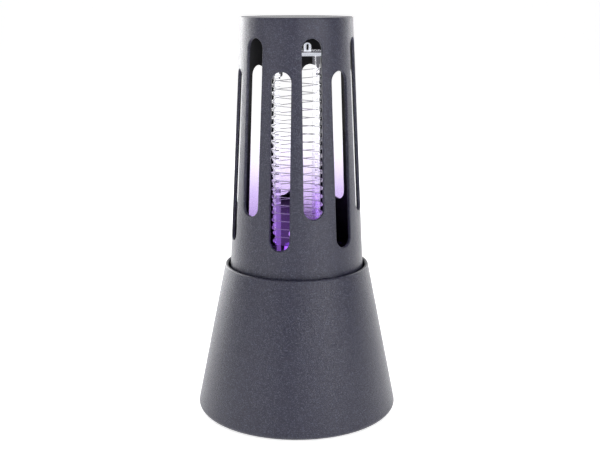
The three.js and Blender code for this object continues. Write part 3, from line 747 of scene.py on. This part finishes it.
carry_over("circuit_board", green_board, "charge_board")
low, high = [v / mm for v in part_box("usb_socket")]
to_back = Matrix.Translation((0, 0, PORT_Z * mm)) @ Matrix.Rotation(-math.pi / 2, 4, "X")
socket = new_piece("socket_shell", *rounded_bar(9.2, 3.4, 1.5, low.y, high.y, 8), steel)
join_or_cut(socket, [tool_from(rounded_bar(8.5, 2.7, 1.2, low.y + 1, high.y + 1, 8))], "DIFFERENCE")
socket.data.transform(to_back)
legs = [box_shape(x - 0.5, x + 0.5, y - 0.7, y + 0.7, low.z, low.z + 1.6, 0.05)
        for x in (-4.0, 4.0) for y in (low.y + 1.5, high.y - 2.6)]
join_or_cut(socket, [tool_from(joined(*legs))], "UNION")
fit(socket, "root", "steel", "usb_socket")
tongue = add_shapes("socket_tongue", chip_black,
                    box_shape(-3.2, 3.2, low.y + 1.05, high.y - 0.9, PORT_Z - 0.35, PORT_Z + 0.35, 0.12))
fit(tongue, "root", "black_plastic")
carry_over("black_plastic", black_plastic, "button_switch")
carry_over("circuit_board", green_board, "switch_board")


# ---- Foot and lamps -----------------------------------------------------------------------------
# A black moulded foot stands on the deck and carries the grid. Six ultraviolet lamps on a round
# board look up through holes in its top, and two screws hold it from below.

foot_low, foot_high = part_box("grid_foot")
SOCKET_R = foot_high.x / mm
SOCKET_Z0, SOCKET_Z1 = foot_low.z / mm, foot_high.z / mm
LAMP_RING = 6.5
FOOT_SCREWS = (-15, 15)
foot_outline = [
    (SOCKET_R - 2.4, SOCKET_Z0), (SOCKET_R - 0.3, SOCKET_Z0), (SOCKET_R, SOCKET_Z0 + 0.3),
    (SOCKET_R, 84.0), (SOCKET_R - 0.4, 84.4), (SOCKET_R - 0.4, 85.2), (SOCKET_R, 85.6),
    *arc((SOCKET_R - 1.2, SOCKET_Z1 - 1.2), 1.2, 0, 90, 8), (16.5, SOCKET_Z1), (16.2, SOCKET_Z1 - 0.3),
    (10.4, SOCKET_Z1 - 0.3), (10.1, SOCKET_Z1), (0, SOCKET_Z1), (0, SOCKET_Z1 - 2.4),
    (SOCKET_R - 2.9, SOCKET_Z1 - 2.4), (SOCKET_R - 2.4, SOCKET_Z1 - 2.9), (SOCKET_R - 2.4, SOCKET_Z0),
]
foot = new_piece("lamp_foot", *turned(foot_outline, 96), black_plastic)
pillars = [tool_from(rod(3.4, SOCKET_Z0, SOCKET_Z1 - 1), Matrix.Translation((x * mm, 0, 0)))
           for x in FOOT_SCREWS]
join_or_cut(foot, pillars, "UNION")
drills = [tool_from(set_round(rod(2.8, 90, 110, 40), LAMP_RING, 6))]
drills += [tool_from(rod(1.6, 78, 92.5), Matrix.Translation((x * mm, 0, 0))) for x in FOOT_SCREWS]
join_or_cut(foot, drills, "DIFFERENCE")
fit(foot, "root", "black_plastic", "grid_foot")

grid_screw = pan_screw(1.3, 12.0, 2.6)
grid_screws = new_piece("grid_screws", *placed(grid_screw, *[(x, 0, 77.7) for x in FOOT_SCREWS]), steel)
fit(grid_screws, "root", "steel", "grid_screw_1", "grid_screw_2")

lamp_board_paint = smooth_finish("white lamp board", (0.62, 0.64, 0.66), (0.5, 0.53, 0.56),
                                 (0.3, 0.42), 240.0)
carry_over("circuit_board", lamp_board_paint, "led_board")

# A lamp: a clear violet dome on a flanged base, lit from the small cup inside it.
resin, resin_tree, resin_surface, resin_place = new_finish("violet lamp resin")
resin_cloud = put(resin_tree, "ShaderNodeTexNoise", Vector=resin_place, Scale=700.0, Detail=3.0)
cloud_mask = remap(resin_tree, resin_cloud.outputs["Fac"], 0.35, 0.65, 0.0, 1.0)
feed(resin_tree, resin_surface,
     Base_Color=blend_colour(resin_tree, cloud_mask, (0.30, 0.12, 0.75), (0.42, 0.22, 0.9)),
     Emission_Color=blend_colour(resin_tree, cloud_mask, (0.30, 0.09, 0.72), (0.45, 0.2, 0.85)),
     Roughness=remap(resin_tree, resin_cloud.outputs["Fac"], 0.3, 0.7, 0.08, 0.16),
     Emission_Strength=3.0, Coat_Weight=0.5)
lamp_low, lamp_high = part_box("uv_led_1")
z0, z1 = lamp_low.z / mm, lamp_high.z / mm
lamp = turned([(0, z0), (2.35, z0), (2.5, z0 + 0.15), (2.5, z0 + 0.9), (2.35, z0 + 1.05), (2.28, z0 + 1.2),
               *arc((0, z1 - 2.28), 2.28, 0, 90, 9)], 32)
lamps = new_piece("lamps", *placed(lamp, (0, -LAMP_RING, 0)), resin)
spin(lamps, 6, resin)
fit(lamps, "root", "lamp_resin", *[f"uv_led_{k}" for k in range(1, 7)])

lamp_light = bpy.data.lights.new("lamp light", "POINT")
lamp_light.energy = 0.014
lamp_light.color = (0.6, 0.34, 0.9)
lamp_light.shadow_soft_size = 0.005
bulb = bpy.data.objects.new("lamp light", lamp_light)
bulb.location = (0, 0, 114 * mm)
scene.collection.objects.link(bulb)


def height_at(tree, place):
    """The Z of a vector socket: the height in metres, when it is a place."""
    return put(tree, "ShaderNodeSeparateXYZ", Vector=place).outputs["Z"]


# The haze of violet light that stands over the lamps between the posts.
haze_paint, haze_tree, haze_surface, haze_place = new_finish("violet haze")
haze_noise = put(haze_tree, "ShaderNodeTexNoise", Vector=haze_place, Scale=120.0, Detail=3.0)
haze_share = remap(haze_tree, height_at(haze_tree, haze_place), 0.136, 0.112, 0.0, 0.7)
haze_cloud = remap(haze_tree, haze_noise.outputs["Fac"], 0.3, 0.7, 0.75, 1.0)
feed(haze_tree, haze_surface, Alpha=maths(haze_tree, "MULTIPLY", haze_share, haze_cloud),
     Emission_Color=blend_colour(haze_tree, haze_cloud, (0.10, 0.045, 0.17), (0.15, 0.08, 0.24)),
     Emission_Strength=1.0, Base_Color=(0.01, 0.004, 0.02, 1), Roughness=0.9, Specular_IOR_Level=0.0)
haze_outline = [(12.6, 108.5), (12.5, 152), (12.3, 152), (12.4, 108.5), (12.6, 108.5)]
haze = new_piece("lamp_haze", *turned(haze_outline, 48), haze_paint)
fit(haze, "root", "lamp_resin")


# ---- Electric grid ------------------------------------------------------------------------------
# Four clear posts with notched edges carry two bare steel wires, wound round them turn about. A
# clear plate caps the posts. It has a small loop on it and a dark peg under it.

clear, clear_tree, clear_surface, clear_place = new_finish("clear acrylic")
scuffs = put(clear_tree, "ShaderNodeTexNoise", Vector=clear_place, Scale=420.0, Detail=5.0)
lamp_light_share = remap(clear_tree, height_at(clear_tree, clear_place), 0.150, 0.112, 0.0, 1.0)
# Painted lamp light: lower down, the posts turn violet in colour and glow. Higher up, a faint grey glow
# lightens them.
feed(clear_tree, clear_surface,
     Roughness=remap(clear_tree, scuffs.outputs["Fac"], 0.4, 0.7, 0.04, 0.16),
     Base_Color=blend_colour(clear_tree, lamp_light_share, (0.97, 0.97, 0.98), (0.55, 0.36, 0.84)),
     Emission_Color=blend_colour(clear_tree, lamp_light_share, (0.055, 0.055, 0.062), (0.19, 0.115, 0.28)),
     Emission_Strength=1.0, Transmission_Weight=1.0, IOR=1.1)
carry_over("clear_plastic", clear, "grid_post_1", "grid_post_2", "grid_post_3", "grid_post_4")

# The plate and its loop pipe the lamps' light, so their upright edges shine.
frosted = smooth_finish("edge-lit clear plastic", (0.9, 0.91, 0.93), (0.8, 0.81, 0.84),
                        (0.12, 0.25), 500.0, 0.02)
frosted_tree = frosted.node_tree
faces_way = put(frosted_tree, "ShaderNodeTexCoord").outputs["Normal"]
upward = height_at(frosted_tree, faces_way)
edge_light = remap(frosted_tree, maths(frosted_tree, "MULTIPLY", upward, upward), 0.1, 0.7, 1.0, 0.0)
feed(frosted_tree, frosted_tree.nodes["Principled BSDF"],
     Emission_Color=blend_colour(frosted_tree, edge_light, (0.02, 0.02, 0.025), (0.3, 0.31, 0.34)),
     Emission_Strength=1.0, Transmission_Weight=1.0, IOR=1.2)
carry_over("clear_plastic", frosted, "grid_top_plate", "grid_loop")
carry_over("black_plastic", black_plastic, "anchor_peg")


def tube_tree():
    """Geometry Nodes: a round tube along a path, slightly wavy as drawn wire is."""
    tree, given = new_tree("tube along a path", ("Radius", "NodeSocketFloat", 0.3 * mm),
                           ("Sides", "NodeSocketInt", 8), ("Waviness", "NodeSocketFloat", 0.0))
    path = put(tree, "GeometryNodeMeshToCurve", Mesh=given["Geometry"])
    noise = put(tree, "ShaderNodeTexNoise", Scale=60.0)
    centred = put(tree, "ShaderNodeVectorMath", Vector=noise.outputs["Color"])
    centred.operation = "SUBTRACT"
    centred.inputs[1].default_value = (0.5, 0.5, 0.5)
    sized = tree.nodes.new("ShaderNodeVectorMath")
    sized.operation = "SCALE"
    feed(tree, sized, Vector=centred.outputs[0], Scale=given["Waviness"])
    moved = put(tree, "GeometryNodeSetPosition", Geometry=path.outputs["Curve"], Offset=sized.outputs[0])
    section = put(tree, "GeometryNodeCurvePrimitiveCircle", Resolution=given["Sides"], Radius=given["Radius"])
    sleeve = put(tree, "GeometryNodeCurveToMesh", Curve=moved.outputs[0],
                 Profile_Curve=section.outputs[0], Fill_Caps=True)
    real = put(tree, "GeometryNodeRealizeInstances", Geometry=sleeve.outputs[0])
    return end_tree(tree, real.outputs[0])


tube_along = tube_tree()


def tube(name, points, radius, sides, material, waviness=0.0):
    """A round tube through points given in millimetres."""
    links = [(i, i + 1) for i in range(len(points) - 1)]
    made = new_object(name, [Vector(p) * mm for p in points], [], links)
    run_tree(made, tube_along, Radius=radius * mm, Sides=sides, Waviness=waviness * mm, Material=material)
    close_up(made, 40)
    return made


GRID_YAW = math.radians(3)
REACH = 13.7
PITCH = 5.1
TOP_NOTCH = 220.0


def winding(first_corner, z, quarters, top, bottom):
    """The path of a wire that winds down the posts, with a small round bend at every corner."""
    turn = Matrix.Rotation(GRID_YAW, 3, "Z")
    corner = lambda k: Vector((-REACH if (k + 1) % 4 < 2 else REACH, -REACH if k % 4 < 2 else REACH, 0))
    points = []
    for k in range(quarters + 1):
        here = corner(first_corner + k)
        back = (corner(first_corner + k + 3) - here).normalized()
        on = (corner(first_corner + k + 1) - here).normalized()
        level = Vector((0, 0, z - k * PITCH / 2))
        bend = [here + back * 0.55, here + (back + on) * 0.16, here + on * 0.55]
        if k == 0:
            bend = bend[2:]
        if k == quarters:
            bend = bend[:1]
        points += [p + level for p in bend]
        if k < quarters:
            far = corner(first_corner + k + 1) + level - Vector((0, 0, PITCH / 2))
            points += [points[-1].lerp(far, t) for t in (0.33, 0.66)]
    first, last = points[0], points[-1]
    if top:
        points = [Vector((first.x, first.y, top)), Vector((first.x, first.y, z + 0.6))] + points
    points += [Vector((last.x, last.y, last.z - 0.6)), Vector((last.x, last.y, bottom))]
    return [turn @ p for p in points]


# Drawn steel wire, which catches the lamps' violet light on its lowest turns.
wire = smooth_finish("drawn steel wire", (0.62, 0.62, 0.63), (0.5, 0.5, 0.52), (0.3, 0.45), 900.0, 0.01, 0.9)
wire_tree = wire.node_tree
wire_place = put(wire_tree, "ShaderNodeTexCoord").outputs["Object"]
wire_glow = remap(wire_tree, height_at(wire_tree, wire_place), 0.142, 0.112, 0.0, 1.0)
# Both glows are painted light: violet on the lowest turns and a faint grey on the rest.
feed(wire_tree, wire_tree.nodes["Principled BSDF"], Emission_Strength=1.0,
     Emission_Color=blend_colour(wire_tree, wire_glow, (0.03, 0.03, 0.03), (0.34, 0.24, 0.46)))
live = tube("live_turns", winding(1, TOP_NOTCH, 42, 226.4, 104.6), 0.26, 8, wire, 0.15)
fit(live, "root", "steel", "live_wire")
neutral = tube("neutral_turns", winding(1, TOP_NOTCH - PITCH, 41, 0, 104.6), 0.26, 8, wire, 0.15)
fit(neutral, "root", "steel", "neutral_wire")


# ---- Insect tray --------------------------------------------------------------------------------
# A ring-shaped tray of thin black plastic that stands on the deck round the foot. It has a rolled
# lip to hold it by, and is lifted out and emptied once the guard is off.

tray_low, tray_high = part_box("insect_tray")
z0, z1 = tray_low.z / mm, tray_high.z / mm
lip = tray_high.x / mm
side = lip - 1.1
tray_outline = [
    (23.6, z0 + 0.5), *arc((24.1, z0 + 0.5), 0.5, 180, 270, 4),
    *arc((side - 0.5, z0 + 0.5), 0.5, 270, 360, 4), (side, z1 - 1.7),
    *arc((side + 0.2, z1 - 1.5), 0.2, 180, 90, 2), *arc((lip - 0.7, z1 - 0.7), 0.7, -80, 90, 8),
    (side - 1.1, z1), (side - 1.4, z1 - 0.3), (side - 1.4, z0 + 2.4),
    *arc((side - 2.4, z0 + 2.4), 1.0, 0, -90, 5), *arc((26.0, z0 + 2.4), 1.0, 270, 180, 5),
    (25.0, z1 - 0.4), (24.6, z1), (24.0, z1), (23.6, z1 - 0.4), (23.6, z0 + 0.5),
]
tray = new_piece("tray_ring", *turned(tray_outline, 120), black_plastic)
fit(tray, "tray", "black_plastic", "insect_tray")


# ---- Power button -------------------------------------------------------------------------------
# A round black button in the back wall. Its dished face stands a little proud of the base, and a
# flange behind the wall holds it in.

button_outline = [
    (0, -4.5), (BUTTON_R + 1.0, -4.5), (BUTTON_R + 1.2, -4.3), (BUTTON_R + 1.2, -3.6),
    (BUTTON_R + 1.0, -3.4), (BUTTON_R, -3.4), *arc((BUTTON_R - 0.6, 0.4), 0.6, 0, 90, 8),
    (BUTTON_R - 1.0, 1.0), (3.6, 0.83), (3.4, 0.68), (3.1, 0.68), (2.9, 0.8), (1.5, 0.76), (0, 0.75),
]
button = new_piece("button_cap", *turned(button_outline, 72), black_plastic)
button.data.transform(back_wall(BUTTON_Z))
fit(button, "button", "black_plastic", "power_button")


# ---- Leads --------------------------------------------------------------------------------------
# Two insulated wires, one red and one black, rise from the supply board through the hole in the
# deck to the foot of the grid.

red_lead = smooth_finish("red silicone lead", (0.42, 0.02, 0.015), (0.5, 0.035, 0.02), (0.4, 0.55), 300.0)
black_lead = smooth_finish("black silicone lead", (0.02, 0.02, 0.022), (0.035, 0.035, 0.038),
                           (0.4, 0.55), 300.0)


def smooth_path(points, steps=6):
    """A smooth line through the points, by Catmull-Rom curves between them."""
    ends = [Vector(p) for p in (points[0], *points, points[-1])]
    line = []
    for a, b, c, d in zip(ends, ends[1:], ends[2:], ends[3:]):
        for i in range(steps):
            t = i / steps
            line.append(0.5 * (2 * b + (c - a) * t + (2 * a - 5 * b + 4 * c - d) * t * t
                               + (3 * b - a - 3 * c + d) * t * t * t))
    return line + [ends[-1]]


for side, node, paint in ((1, "live_lead", red_lead), (-1, "neutral_lead", black_lead)):
    stops = [(28 * side, 6, 15.4), (27.5 * side, 5, 24.6), (20 * side, 3, 46.6), (6 * side, 1, 64.6),
             (2.4 * side, 0, 76.5), (2.4 * side, 0, 94.5)]
    lead = tube(node + "_sleeve", smooth_path(stops), 0.8, 16, paint)
    fit(lead, "root", "red_lead" if side > 0 else "black_lead", node)


# ---- Guard tube ---------------------------------------------------------------------------------
# The slotted tube that lifts off for emptying: the same charcoal plastic, one moulding with a
# closed top. Long round-ended slots stand high and low by turns, with softened edges.

guard_low, guard_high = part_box("guard_tube")
GUARD_Z0 = guard_low.z / mm
GUARD_Z1 = guard_high.z / mm
GUARD_TOP_R = 34.3
GUARD_SLOPE = 0.0512
GUARD_WALL = 2.2
SLOT_R = 6.25
LOW_SLOT = (112.5, 219.0)
HIGH_SLOT = (131.6, 238.1)
BEVEL = 0.8
SOFTENED = 0.5
ROOF_UNDER = GUARD_Z1 - 3.0
ROOF_START = ROOF_UNDER - 6.5


def guard_radius(z):
    """Outside radius of the guard at a height."""
    return GUARD_TOP_R + (GUARD_Z1 - z) * GUARD_SLOPE


def slot_levels():
    """Heights of the points up the line between two slots, with both slots' arc ends among them."""
    stops = [GUARD_Z0 + BEVEL, LOW_SLOT[0] + SLOT_R, HIGH_SLOT[0] + SLOT_R,
             LOW_SLOT[1] - SLOT_R, HIGH_SLOT[1] - SLOT_R, GUARD_Z1 - BEVEL]
    levels = []
    for a, b in zip(stops, stops[1:]):
        steps = max(1, round((b - a) / 4.4))
        levels += [a + (b - a) * i / steps for i in range(steps)]
    return levels + [stops[-1]]


LEVELS = slot_levels()
EDGE_STEPS = 12
HALF_SECTOR = math.radians(15)


def slot_rings(slot):
    """Matching points round a slot and round its 30 degree share of the wall, as (angle, height) for
    the share and as (direction from the slot's middle line, height of that line) for the slot."""
    bottom, top = slot[0] + SLOT_R, slot[1] - SLOT_R
    side = [z for z in LEVELS if bottom - 1e-6 <= z <= top + 1e-6]
    above = [z for z in LEVELS if z > top + 1e-6]
    below = [z for z in LEVELS if z < bottom - 1e-6]
    across = [HALF_SECTOR * (1 - 2 * i / EDGE_STEPS) for i in range(EDGE_STEPS + 1)]
    share = [(HALF_SECTOR, z) for z in side + above] + [(a, LEVELS[-1]) for a in across[1:-1]]
    share += [(-HALF_SECTOR, z) for z in reversed(LEVELS)]
    share += [(-a, LEVELS[0]) for a in across[1:-1]] + [(HALF_SECTOR, z) for z in below]
    ends = 2 * len(above) + EDGE_STEPS - 1
    feet = 2 * len(below) + EDGE_STEPS - 1
    round_slot = [(0.0, z) for z in side]
    round_slot += [(math.pi * i / (ends + 1), top) for i in range(1, ends + 1)]
    round_slot += [(math.pi, z) for z in reversed(side)]
    round_slot += [(math.pi + math.pi * i / (feet + 1), bottom) for i in range(1, feet + 1)]
    return share, round_slot


def guard_share(middle, slot):
    """The outer and inner face of one slot's share of the wall, and the slot's edge between them."""
    share, round_slot = slot_rings(slot)

    def face_point(angle, z, depth):
        if depth == GUARD_WALL and z > ROOF_START:
            z = ROOF_START + (z - ROOF_START) * (ROOF_UNDER - ROOF_START) / (LEVELS[-1] - ROOF_START)
        r = (guard_radius(z) - depth) * mm
        return (r * math.sin(middle + angle), -r * math.cos(middle + angle), z * mm)

    def slot_point(direction, line, grow):
        reach = SLOT_R + grow
        z = line + reach * math.sin(direction)
        return math.asin(reach * math.cos(direction) / guard_radius(z)), z

    def face_loops(depth):
        made = []
        for t in (0.0, 0.25, 0.5, 0.75, 1.0):
            ring = []
            for (a, z), (direction, line) in zip(share, round_slot):
                sa, sz = slot_point(direction, line, SOFTENED + 0.25)
                ring.append(face_point(a + (sa - a) * t, z + (sz - z) * t, depth))
            made.append(ring)
        return made

    def edge_loop(grow, depth):
        return [face_point(*slot_point(d, line, grow), depth) for d, line in round_slot]

    bend = [(SOFTENED * (1 - math.sin(t)), SOFTENED * (1 - math.cos(t)))
            for t in (math.radians(90 * i / 4) for i in range(5))]
    loops = face_loops(0) + [edge_loop(grow, depth) for grow, depth in bend]
    loops += [edge_loop(grow, GUARD_WALL - depth) for depth, grow in bend]
    loops += face_loops(GUARD_WALL)[::-1]
    return [p for ring in loops for p in ring], bands(len(loops), len(share))


def guard_ends():
    """The closed top and the lower edge, over 60 degrees."""
    r_top, r_low = guard_radius(GUARD_Z1), guard_radius(GUARD_Z0)
    inner_top = guard_radius(ROOF_UNDER) - GUARD_WALL
    bend = [math.radians(90 * i / 5) for i in range(6)]
    roof = [(guard_radius(LEVELS[-1]), LEVELS[-1])]
    roof += [(r_top - BEVEL * (1 - math.cos(t)), GUARD_Z1 - BEVEL * (1 - math.sin(t))) for t in bend[1:]]
    roof += [(r_top * k, GUARD_Z1) for k in (0.94, 0.8, 0.6, 0.4, 0.2)] + [(0, GUARD_Z1)]
    under = [(inner_top * k, ROOF_UNDER) for k in (0, 0.3, 0.6, 0.85, 1)]
    foot = [(guard_radius(LEVELS[0]) - GUARD_WALL, LEVELS[0]), (r_low - GUARD_WALL + 0.4, GUARD_Z0)]
    foot += [(r_low - 0.6, GUARD_Z0), (guard_radius(LEVELS[0]), LEVELS[0])]
    vertices, faces = [], []
    steps = 2 * EDGE_STEPS
    for outline in (roof, under, foot):
        start = len(vertices)
        for r, z in outline:
            for i in range(steps + 1):
                a = -2 * HALF_SECTOR + 4 * HALF_SECTOR * i / steps
                vertices.append((r * mm * math.sin(a), -r * mm * math.cos(a), z * mm))
        for j in range(len(outline) - 1):
            for i in range(steps):
                a = start + j * (steps + 1) + i
                faces.append((a, a + 1, a + steps + 2, a + steps + 1))
    return vertices, faces


sixth = joined(guard_share(-HALF_SECTOR, LOW_SLOT), guard_share(HALF_SECTOR, HIGH_SLOT), guard_ends())
guard = new_object("guard_shell", *sixth)
spin(guard, 6, charcoal, sharp=40)

# The inside is darker and duller, as painted shade: all that lies deeper than half the wall, but for the
# outside of the top.
INSIDE_DEPTH = 1.2
TOP_STARTS = 240.0
inside_painted_shade = moulded_plastic("unlit black inside", (0.006, 0.006, 0.008), (0.012, 0.012, 0.014),
                               (0.6, 0.7), 1500.0, 0.1)
feed(inside_painted_shade.node_tree, inside_painted_shade.node_tree.nodes["Principled BSDF"], Specular_IOR_Level=0.2)
guard.data.materials.clear()
guard.data.materials.append(charcoal)
guard.data.materials.append(inside_painted_shade)
for face in guard.data.polygons:
    x, y, z = face.center / mm
    deep = guard_radius(z) - math.hypot(x, y) > INSIDE_DEPTH
    face.material_index = 1 if deep and (face.normal.z < 0.5 or z < TOP_STARTS) else 0
fit(guard, "guard", "charcoal_body", "guard_tube")


# ---- Lamp glow ----------------------------------------------------------------------------------
# The violet light of the lamps, as it shows in the air inside the guard: strongest just above the
# foot and gone half way up. It is a thin see-through veil that goes with the guard.

veil_paint, veil_tree, veil_surface, veil_place = new_finish("violet glow")
drift = put(veil_tree, "ShaderNodeTexNoise", Vector=veil_place, Scale=45.0, Detail=2.0)
wisp = maths(veil_tree, "MULTIPLY", maths(veil_tree, "SUBTRACT", drift.outputs["Fac"], 0.5), 0.006)
level = maths(veil_tree, "ADD", height_at(veil_tree, veil_place), wisp)
upper = blend_colour(veil_tree, remap(veil_tree, level, 0.178, 0.137, 0.0, 1.0), (0.97, 0.965, 0.98),
                     (0.62, 0.54, 0.735))
lower = blend_colour(veil_tree, remap(veil_tree, level, 0.137, 0.110, 0.0, 1.0), upper, (0.43, 0.335, 0.56))
feed(veil_tree, veil_surface, Base_Color=lower, Transmission_Weight=1.0, IOR=1.0, Roughness=0.0,
     Specular_IOR_Level=0.0)
veil_outline = [(34.0, 104.5), (33.8, 130), (33.4, 155), (32.8, 182), (32.6, 182), (33.2, 155), (33.6, 130),
                (33.8, 104.5), (34.0, 104.5)]
veil = new_piece("lamp_glow", *turned(veil_outline, 72), veil_paint)
fit(veil, "guard", "lamp_resin")

# Sizes before and after.
size = {"cad": [list(corner) for corner in cad_box]}
size["visual"] = [list(corner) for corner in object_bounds()]
